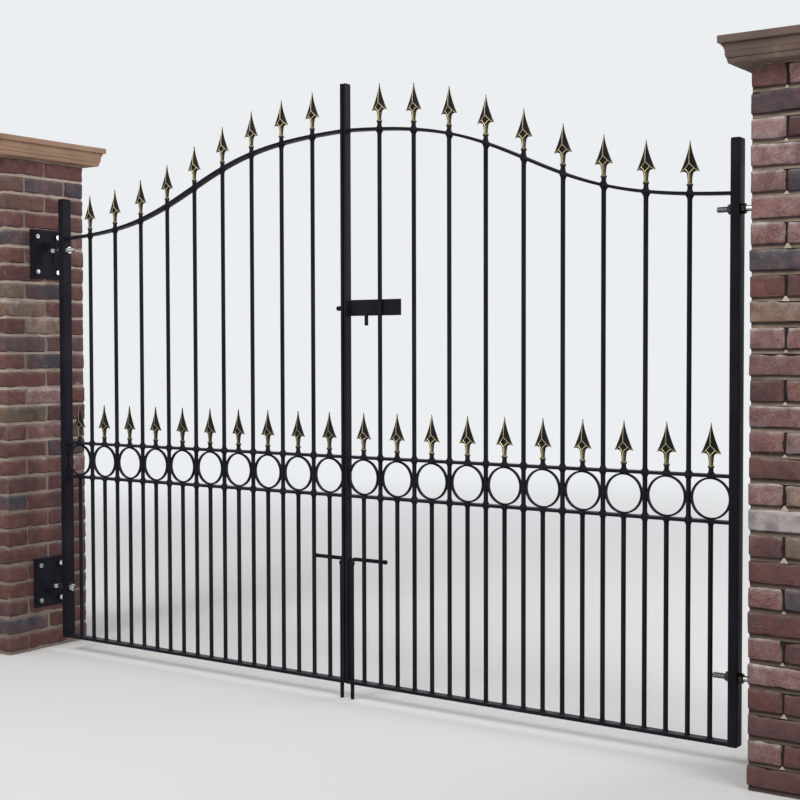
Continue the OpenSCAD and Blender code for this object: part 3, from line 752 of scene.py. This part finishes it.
def welded_bar(u, foot, top, welds, slope=0.0, slope_z=0.0):
    """A round bar from foot to top; a weld is (height of the face, 1 over or -1 under it,
    spread, run), and slope leans the collars at slope_z along the bow."""
    profile = [(0, foot)]
    for z, way, spread, run in welds:
        collar = [(BAR_R + spread * (1 - k / COLLAR_CUTS) ** 1.6, z + way * run * k / COLLAR_CUTS)
                  for k in range(COLLAR_CUTS + 1)]
        profile += collar if way > 0 else collar[::-1]
    if profile[-1][1] < top:
        profile.append((BAR_R, top))
    points, faces = turned(profile + [(0, top)])
    shaped = []
    for p in points:
        radius = math.hypot(p.x, p.y)
        if radius > BAR_R:
            lumpy = BAR_R + (radius - BAR_R) * (1 + 0.5 * lump(p, 110, u * 31))
            p = Vector((p.x * lumpy / radius, p.y * lumpy / radius, p.z))
        near = held((0.05 - abs(p.z - slope_z)) / 0.03)
        shaped.append(p + Vector((u, 0, slope * p.x * near)))
    return shaped, faces


def through(z):
    """The collars under and over a ring rail whose centre line is at z."""
    return [(z + way * RAIL_T / 2, way, 0.006, 0.011) for way in (-1, 1)]


foot_weld = (FOOT_Z, 1, 0.0035, 0.008)
band_foot, band_top = BAND_LOW - RAIL_T / 2, BAND_HIGH + RAIL_T / 2
for side in SIDES:
    bars = []
    for u in LONG_US:
        z, slope = bow_z(u), bow_slope(u)
        half = RAIL_T / 2 * math.hypot(1, slope)
        welds = [foot_weld] + through(BAND_LOW) + through(BAND_HIGH)
        welds += [(z - half, -1, 0.0065, 0.015), (z + half, 1, 0.0045, 0.01)]
        bars.append(welded_bar(u, FOOT_Z, z + SPEAR_RISE + INTO_SPEAR, welds, slope, z))
    leaf_piece(side, "long_bars", bars, "bars")
    welds = [foot_weld, (band_foot, -1, 0.0045, 0.009)]
    bars = [welded_bar(u, FOOT_Z, band_foot, welds) for u in SHORT_US]
    leaf_piece(side, "short_bars", bars, "dog_bars")
    top = BAND_HIGH + SPEAR_RISE + INTO_SPEAR
    bars = [welded_bar(u, band_top, top, [(band_top, 1, 0.0055, 0.009)]) for u in SHORT_US]
    leaf_piece(side, "stubs", bars, "stub_bars")

# Ring band. Ten rings to a leaf, bent from flat bar, each held between the two ring rails
# and its neighbouring bars by short welds where it touches them.
RING_R, RING_T, RING_DEPTH, RING_CUTS = 0.0667, 0.006, 0.012, 72
RING_Z = (BAND_LOW + BAND_HIGH) / 2
BEAD_R, RING_BEAD, RAIL_BEAD = 0.0026, 0.0125, 0.031


def weld_bead(x, z, run, seed):
    """A short lumpy bead of weld lying along the gate's depth."""
    profile = [(BEAD_R * math.sqrt(max(0.05, 1 - (2 * t - 1) ** 4)), run * (t - 0.5))
               for t in (0.04, 0.15, 0.3, 0.5, 0.7, 0.85, 0.96)]
    points, faces = turned([(0, -run / 2)] + profile + [(0, run / 2)], 8)
    points = [p * (1 + 0.25 * lump(p, 300, seed)) for p in points]
    return moved((points, faces), (x, 0, z), rotation(90, "X"))


STILES = (MEET_FACE, STILE_FACE)
rail_ends = [(u, z, z * 50) for z in (GROUND_GAP + 0.006, BAND_LOW, BAND_HIGH) for u in STILES]
rail_ends += [(u, bow_z(u), u * 9) for u in STILES]
for side in SIDES:
    rings, beads = [], []
    for u in SHORT_US:
        stops = []
        for x, z in round_points(RING_CUTS):
            out = Vector((x, 0, z))
            stops.append((Vector((u, 0, RING_Z)) + out * (RING_R - RING_T / 2), INTO_DEPTH, out))
        rings.append(swept(stops, rounded_outline(RING_DEPTH, RING_T, 0.001), closed=True))
        for k in range(4):
            for lean in (-0.07, 0.07):
                a, out = math.radians(90) * k + lean, RING_R + 0.0004
                spot = (u + math.cos(a) * out, RING_Z + math.sin(a) * out)
                beads.append(weld_bead(*spot, RING_BEAD, u * 90 + k + lean))
    for u, z, seed in rail_ends:
        for over in (-1, 1):
            beads.append(weld_bead(u, z + over * RAIL_T * 0.55, RAIL_BEAD, seed + over))
    leaf_piece(side, "ring_row", rings, "rings")
    leaf_piece(side, "welds", beads, crease=60)

# Spears. Iron castings with a bead, a flared throat and a barbed blade, the same front and
# back. Black, with gold brushed on the raised ribs: one down the blade that parts into a
# chevron over a sunk diamond, and a Y under it that runs down the throat.
gilded_black, tree, place = start_material("gilded_black")
brushed = patched(tree, place, 260.0, 5.0, 0.3, 0.62)
rubbed = patched(tree, place, 60.0, 3.0, 0.25, 0.6, 7.0)
kept = maths(tree, "ADD", scaled(tree, brushed, 0.45), scaled(tree, rubbed, 0.3))
kept = maths(tree, "ADD", kept, 0.45)
gold = maths(tree, "MULTIPLY", marked(tree, "gilt"), kept, use_clamp=True)
casting = stained(tree, (0.005, 0.0046, 0.005, 1), (0.011, 0.0098, 0.009, 1), brushed)
casting = stained(tree, casting, (0.72, 0.6, 0.34, 1), gold)
rough = ranged(tree, gold, 0.0, 1.0, 0.5, 0.36)
cast_skin = grain(tree, place, 480.0, 4.0)
finish_off(tree, casting, rough, cast_skin, 0.0003, 0.14, scaled(tree, gold, 0.7))

# Sizes of the casting in mm: heights of the throat's end, the barbs and the tip, half width
# and half thickness of the blade's edge, and half width, half height, middle and depth of the
# diamond
THROAT_Z, BARB_Z, TIP_Z = 38, 44.5, 142
BLADE_HALF, EDGE_T = 33.5, 1.2
POCKET_W, POCKET_H, POCKET_Z, POCKET_DEEP = 12.5, 13, 57, 4.2
BEAD_H = 9.5


def ease(x, low, high):
    t = held((x - low) / (high - low))
    return t * t * (3 - 2 * t)


def blade_rows():
    """(half width, height at the edge, height at the ridge), in mm, from the bead to the tip."""
    rows = [(7.1 + 2.6 * (t / 29) ** 2, 9 + t, 9 + t) for t in range(0, 30, 3)]
    for q in (0.1, 0.25, 0.45, 0.65, 0.85, 1.0):
        edge_z = 38.5 + 6 * q + 4.5 * math.sin(math.pi * q)
        rows.append((9.4 + 24.1 * q ** 1.35, edge_z, 38.5 + 14 * q))
    for t in [i / 26 for i in range(1, 27)]:
        half = BLADE_HALF * (0.25 * (1 - t) + 0.75 * (1 - t) ** 1.7) + 0.8 * t
        edge_z = BARB_Z + (TIP_Z - BARB_Z) * t
        rows.append((half, edge_z, edge_z + 8 * (1 - t) ** 3))
    return rows


def blade_face():
    """The front of the casting as rows of points, in mm, each with its share of gold."""
    grid = []
    for half, edge_z, ridge_z in blade_rows():
        flat = ease(ridge_z, THROAT_Z, 54)
        ridge = min(8.0, 1.5 + (TIP_Z - ridge_z) * 0.14)
        round_t = min(half * 0.98, 9.0)
        row = []
        for s in [i / 13 for i in range(-13, 14)]:
            x = s * half
            z = ridge_z + (edge_z - ridge_z) * abs(s) ** 1.3
            keen = EDGE_T + (ridge - EDGE_T) * (1 - abs(s)) ** 1.15
            depth = flat * keen + (1 - flat) * round_t * math.sqrt(max(0.0, 1 - s * s))
            inside = abs(x) / POCKET_W + abs(z - POCKET_Z) / POCKET_H
            if THROAT_Z < z < 75:
                depth -= POCKET_DEEP * (1 - ease(inside, 0.72, 1.02))
            on_barb = ease(abs(s), 0.86, 1.0) * ease(z, 40, 46) * (1 - ease(z, 56, 74))
            on_throat = (1 - s * s) * (1 - ease(z, 34, 42))
            gold = 0.0 if inside < 1 and z > 43 else 0.3 * on_barb + 0.3 * on_throat
            row.append((Vector((x, -depth, z)), gold))
        grid.append(row)
    return grid


def on_blade(grid, x, z):
    """Depth of the front surface at a place in the front view."""
    near = sorted(((p.x - x) ** 2 + (p.z - z) ** 2 + 0.05, p.y)
                  for row in grid for p, gold in row)[:5]
    return sum(y / d for d, y in near) / sum(1 / d for d, y in near)


def rib(grid, corners, cuts, radii):
    """A raised half-round rib along a bent line in the front view, sunk a little."""
    path = [corners[0]]
    for (x0, z0), (x1, z1) in zip(corners, corners[1:]):
        path += [(x0 + (x1 - x0) * k / cuts, z0 + (z1 - z0) * k / cuts) for k in range(1, cuts + 1)]
    stops = []
    for i, (x, z) in enumerate(path):
        back, ahead = path[max(0, i - 1)], path[min(len(path) - 1, i + 1)]
        along = Vector((ahead[0] - back[0], 0, ahead[1] - back[1])).normalized()
        radius = radii[0] + (radii[1] - radii[0]) * i / (len(path) - 1)
        y = on_blade(grid, x, z) - radius * 0.15
        across, out = along.cross(INTO_DEPTH) * radius, -INTO_DEPTH * radius * 1.1
        stops.append((Vector((x, y, z)), across, out))
    return swept(stops, round_points(8))


def cast_spear():
    """One whole spear: points in mm, faces and the gold on each point."""
    grid = blade_face()
    rows, wide = len(grid), len(grid[0])
    front = [p for row in grid for p, gold in row]
    marks = [gold for row in grid for p, gold in row] * 2
    points = front + [Vector((p.x, -p.y, p.z)) for p in front]
    shift = rows * wide
    faces = []
    for i in range(rows - 1):
        for j in range(wide - 1):
            a, b, c, d = i * wide + j, i * wide + j + 1, (i + 1) * wide + j + 1, (i + 1) * wide + j
            faces += [[a, b, c, d], [shift + a, shift + d, shift + c, shift + b]]
        for j in (0, wide - 1):
            a, d = i * wide + j, (i + 1) * wide + j
            faces.append([a, d, shift + d, shift + a])
    for i in (0, rows - 1):
        across = [i * wide + j for j in range(wide)]
        faces.append(across + [shift + a for a in reversed(across)])
    shapes = [(points, faces)]
    ribs = [rib(grid, [(0, 139), (0, 71.5)], 14, (0.8, 1.5)),
            rib(grid, [(0, 41), (0, 12)], 8, (1.6, 1.9))]
    for way in (-1, 1):
        chevron = [(0, 71.5), (way * 12, 59), (way * 21.5, 50.5), (way * 30.5, 46.2)]
        fork = [(way * 15.5, 56), (way * 10, 50), (way * 4.5, 44.5), (0, 38)]
        ribs += [rib(grid, chevron, 4, (1.3, 0.8)), rib(grid, fork, 3, (1.4, 1.6))]
    for ps, fs in ribs:
        for turn in (1, -1):
            shapes.append(([Vector((turn * p.x, turn * p.y, p.z)) for p in ps], fs))
            marks += [1.0] * len(ps)
    bead = [(7.4 + 3.2 * math.sin(math.pi * k / 8), BEAD_H / 2 * (1 - math.cos(math.pi * k / 8)))
            for k in range(9)]
    shapes.append(turned([(0, 0)] + bead + [(0, BEAD_H)], 28))
    # More gold on the bead's upper half: partly gilding, partly a painted glint where light falls
    # on its top
    marks += [0.06 + 0.5 * ease(p.z, 5.0, 8.0) for p in shapes[-1][0]]
    return put_together(shapes), marks


spear, spear_gold = cast_spear()
MM = 0.001
# The lower spears of the left leaf have lost most of their gold
LEAST_GILT = 0.5
for side in SIDES:
    rows = (("tall_spears", "bar_finials", [(u, bow_z(u) + SPEAR_RISE) for u in LONG_US]),
            ("low_spears", "stub_finials", [(u, BAND_HIGH + SPEAR_RISE) for u in SHORT_US]))
    for label, node, spots in rows:
        most = LEAST_GILT if (side, label) == ("left", "low_spears") else 1.0
        draw = random.Random(label + side)
        shapes, gilt = [], []
        for u, z in spots:
            shapes.append(moved(spear, (u, 0, z), rotation(draw.gauss(0, 1.2), "Z") * MM))
            left_on = draw.uniform(0.7, 1.0) * most
            gilt += [gold * left_on for gold in spear_gold]
        leaf_piece(side, label, shapes, node, gilded_black, 32, {"gilt": gilt})

# Hinge eye bolts. Zinc plated: a threaded bolt through the stile with a nut each side, and a
# forged eye that turns on the pier's pin. The right nuts are darkened as painted shade, and the
# bolts' sawn ends are dull.


def plated_finish(name, dark, light, grime, dark_reflection_share=0.0):
    """Zinc plate: spangle from dark to light, dulled by grime in patches, and darkened where it
    looks up or down as a painted dark reflection."""
    made, tree, place = start_material(name)
    spangle = add_node(tree, "TexVoronoi", {"Vector": place, "Scale": 260.0}).outputs["Color"]
    grey = add_node(tree, "SeparateXYZ", {0: spangle}).outputs["X"]
    dulled = patched(tree, place, 70.0, 4.0, 0.4, 0.65)
    plated = stained(tree, stained(tree, dark, light, grey), grime, dulled, 0.6)
    # Painted dark reflections, with some painted shade, in bands on the faces that look up or down
    dark_reflection = ranged(tree, maths(tree, "ABSOLUTE", normal_z(tree)), 0.42, 0.7)
    plated = stained(tree, plated, (0.02, 0.02, 0.022, 1), dark_reflection, dark_reflection_share)
    finish_off(tree, plated, ranged(tree, dulled, 0.0, 1.0, 0.24, 0.5), grey, 0.00004, metal=1.0)
    return made


bright_zinc = plated_finish("bright_zinc", (0.5, 0.51, 0.54, 1), (0.6, 0.61, 0.64, 1),
                            (0.25, 0.25, 0.26, 1), 0.9)
# Dull zinc for the sawn ends; on the right nuts its darkness is painted shade
dull_and_shaded_zinc = plated_finish("dull_and_shaded_zinc", (0.035, 0.034, 0.027, 1), (0.075, 0.073, 0.058, 1),
                          (0.02, 0.019, 0.016, 1))
fresh_zinc = plated_finish("fresh_zinc", (0.55, 0.58, 0.6, 1), (0.8, 0.83, 0.85, 1),
                           (0.3, 0.32, 0.33, 1))
# The right nuts are darkened as painted shade
nut_zinc = {"left": fresh_zinc, "right": dull_and_shaded_zinc}

PIN_U, EYE_ZS = 1.58475, (0.276, 1.728)
# Thread past the inner nut, low and high
THREADS = {"left": (0.01, 0.033), "right": (0.042, 0.036)}
THREAD_R, ROOT_R, PITCH, SHANK_SHORT = 0.009, 0.008, 0.0025, 0.012
NUT_AF, NUT_T = 0.028, 0.014
SAWN_R, SAWN_T = 0.0066, 0.0003
ALONG_U = rotation(90, "Y")


def hex_nut(across, thick):
    """A nut with its corners turned down, about an upright axis."""
    corner = across / 2 / math.cos(math.radians(30))
    return turned([(0, 0), (corner * 0.93, 0), (corner, thick * 0.12), (corner, thick * 0.88),
                   (corner * 0.93, thick), (0, thick)], 6)


eye = turned([(0.0083, -0.0085), (0.0093, -0.0095), (0.0150, -0.0095), (0.0165, -0.0078),
              (0.0165, 0.0078), (0.0150, 0.0095), (0.0093, 0.0095), (0.0083, 0.0085),
              (0.0083, -0.0085)], 36)
sawn = turned([(0, -SAWN_T), (SAWN_R, -SAWN_T), (SAWN_R, SAWN_T), (0, SAWN_T)])
for side in SIDES:
    bright, nuts, ends = [], [], []
    for z, past in zip(EYE_ZS, THREADS[side]):
        start = STILE_FACE - NUT_T - past
        shank = PIN_U - start - SHANK_SHORT
        thread = [(0, 0), (0.0072, 0), (0.0078, 0.0006)]
        for k in range(int((past + 0.006) / PITCH)):
            thread += [(THREAD_R, 0.001 + PITCH * (k + 0.5)), (ROOT_R, 0.001 + PITCH * (k + 1))]
        thread += [(THREAD_R, thread[-1][1] + 0.001), (THREAD_R, shank), (0, shank)]
        bright += [moved(turned(thread), (start, 0, z), ALONG_U), moved(eye, (PIN_U, 0, z))]
        for u in (STILE_FACE - NUT_T, STILE_FACE + STILE_W):
            nuts.append(moved(hex_nut(NUT_AF, NUT_T), (u, 0, z), ALONG_U))
        ends.append(moved(sawn, (start, 0, z), ALONG_U))
    leaf_piece(side, "eyes", bright, "eye_bolts", bright_zinc, 30)
    leaf_piece(side, "stile_nuts", nuts, None, nut_zinc[side], 25)
    leaf_piece(side, "thread_ends", ends, None, dull_and_shaded_zinc, 25)

# Wall bolts. Four anchors hold each hinge plate to the brick: a black washer, a zinc nut
# and the bevelled end of the stud.
PLATE_FACE, PLATE_ZS = 1.62775, (0.29, 1.714)
BOLT_Y, BOLT_Z = 0.056, 0.076
WASHER_T = 0.0024
washer = turned([(0, 0), (0.0135, 0), (0.014, 0.0006), (0.014, 0.0018), (0.0134, WASHER_T),
                 (0, WASHER_T)], 32)
wall_nut = moved(hex_nut(0.019, 0.0095), (0, 0, WASHER_T))
stud = turned([(0, 0), (0.006, 0), (0.006, 0.0115), (0.005, 0.0125), (0, 0.0125)], 20)
for side in SIDES:
    washers, nuts = [], []
    for plate_z in PLATE_ZS:
        for y in (-BOLT_Y, BOLT_Y):
            for dz in (-BOLT_Z, BOLT_Z):
                spot = (PLATE_FACE + 0.0002, y, plate_z + dz)
                # Every nut was left at an angle of its own
                turn = rotation(-90, "Y") @ rotation(1700 * y + 400 * dz, "Z")
                washers.append(moved(washer, spot, turn))
                nuts += [moved(wall_nut, spot, turn), moved(stud, spot, turn)]
    make_piece(f"{side}_wall_washers", on_leaf(side, washers), "piers",
               satin_black, (), 30)
    make_piece(f"{side}_wall_bolts", on_leaf(side, nuts), "piers", fresh_zinc, (), 30)

# Drop bolts. One round bar each, standing in a hole in the bottom rail and a guide on the
# meeting stile, bent back past the bars and along the gate as a handle that ends in a ball.
DROP_U, DROP_R, BALL_R = 0.024, 0.00725, 0.00875
HANDLE_Z, HANDLE_Y, HANDLE_LEN = 0.52, 0.021, 0.137
BEND_BACK, BEND_ALONG = 0.012, 0.009
quarter = [(math.cos(a), math.sin(a)) for a in (math.radians(15 * k) for k in range(1, 7))]
path = [(DROP_U, 0, z) for z in (0.0025, 0.15, 0.35, HANDLE_Z - BEND_BACK)]
for c, s in quarter:
    path.append((DROP_U, BEND_BACK - BEND_BACK * c, HANDLE_Z - BEND_BACK + BEND_BACK * s))
for c, s in quarter:
    path.append((DROP_U + BEND_ALONG - BEND_ALONG * c, HANDLE_Y - BEND_ALONG + BEND_ALONG * s,
                 HANDLE_Z))
path += [(DROP_U + run, HANDLE_Y, HANDLE_Z) for run in (0.05, 0.1, HANDLE_LEN - 0.006)]
path = [Vector(p) for p in path]
across = Vector((1, 0, 0))
stops = [(Vector((DROP_U, 0, 0.001)), across * 0.7, -INTO_DEPTH * 0.7)]
for i, p in enumerate(path):
    along = (path[min(i + 1, len(path) - 1)] - path[max(i - 1, 0)]).normalized()
    across = (across - along * across.dot(along)).normalized()
    stops.append((p, across, along.cross(across)))
ball = [(BALL_R * math.sin(math.pi * k / 10), -BALL_R * math.cos(math.pi * k / 10))
        for k in range(1, 10)]
ball = turned([(0, -BALL_R)] + ball + [(0, BALL_R)], 20)
drop_rod = [swept(stops, round_points(20, DROP_R)),
            moved(ball, (DROP_U + HANDLE_LEN, HANDLE_Y, HANDLE_Z))]
for side in SIDES:
    make_piece(f"{side}_drop_rod", on_leaf(side, drop_rod), f"{side}_drop_bolt",
               satin_black, (f"{side}_drop_bolt",), 40)

# Slide bolt. A round steel rod behind the shield, bevelled at both ends, with a thicker
# handle welded under it that hangs below the shield.
SLIDE_R, SLIDE_Y, SLIDE_Z, SLIDE_ENDS, BEVEL = 0.006, 0.028, 1.452, (0.00275, 0.21475), 0.0015
GRIP_U, GRIP_R, GRIP_DROP, GRIP_EDGE = 0.073, 0.007, 0.065, 0.002
rod_len = SLIDE_ENDS[1] - SLIDE_ENDS[0]
rod = turned([(0, 0), (SLIDE_R - BEVEL, 0), (SLIDE_R, BEVEL), (SLIDE_R, rod_len - BEVEL),
              (SLIDE_R - BEVEL, rod_len), (0, rod_len)])
grip_foot = [(GRIP_R - GRIP_EDGE * (1 - math.sin(a)), GRIP_EDGE - GRIP_EDGE * math.cos(a))
             for a in (0.0, 0.5, 1.0, 1.5)]
grip = turned([(0, 0)] + grip_foot + [
    (GRIP_R, GRIP_DROP - 0.011), (GRIP_R + 0.0012, GRIP_DROP - 0.007), (GRIP_R, GRIP_DROP - 0.004),
    (GRIP_R, GRIP_DROP), (0, GRIP_DROP)])
slide = [moved(rod, (SLIDE_ENDS[0], SLIDE_Y, SLIDE_Z), ALONG_U),
         moved(grip, (GRIP_U, SLIDE_Y, SLIDE_Z - GRIP_DROP))]
make_piece("right_slide_rod", on_leaf("right", slide), "slide_bolt", satin_black,
           ("slide_bolt", "slide_handle"), 40)
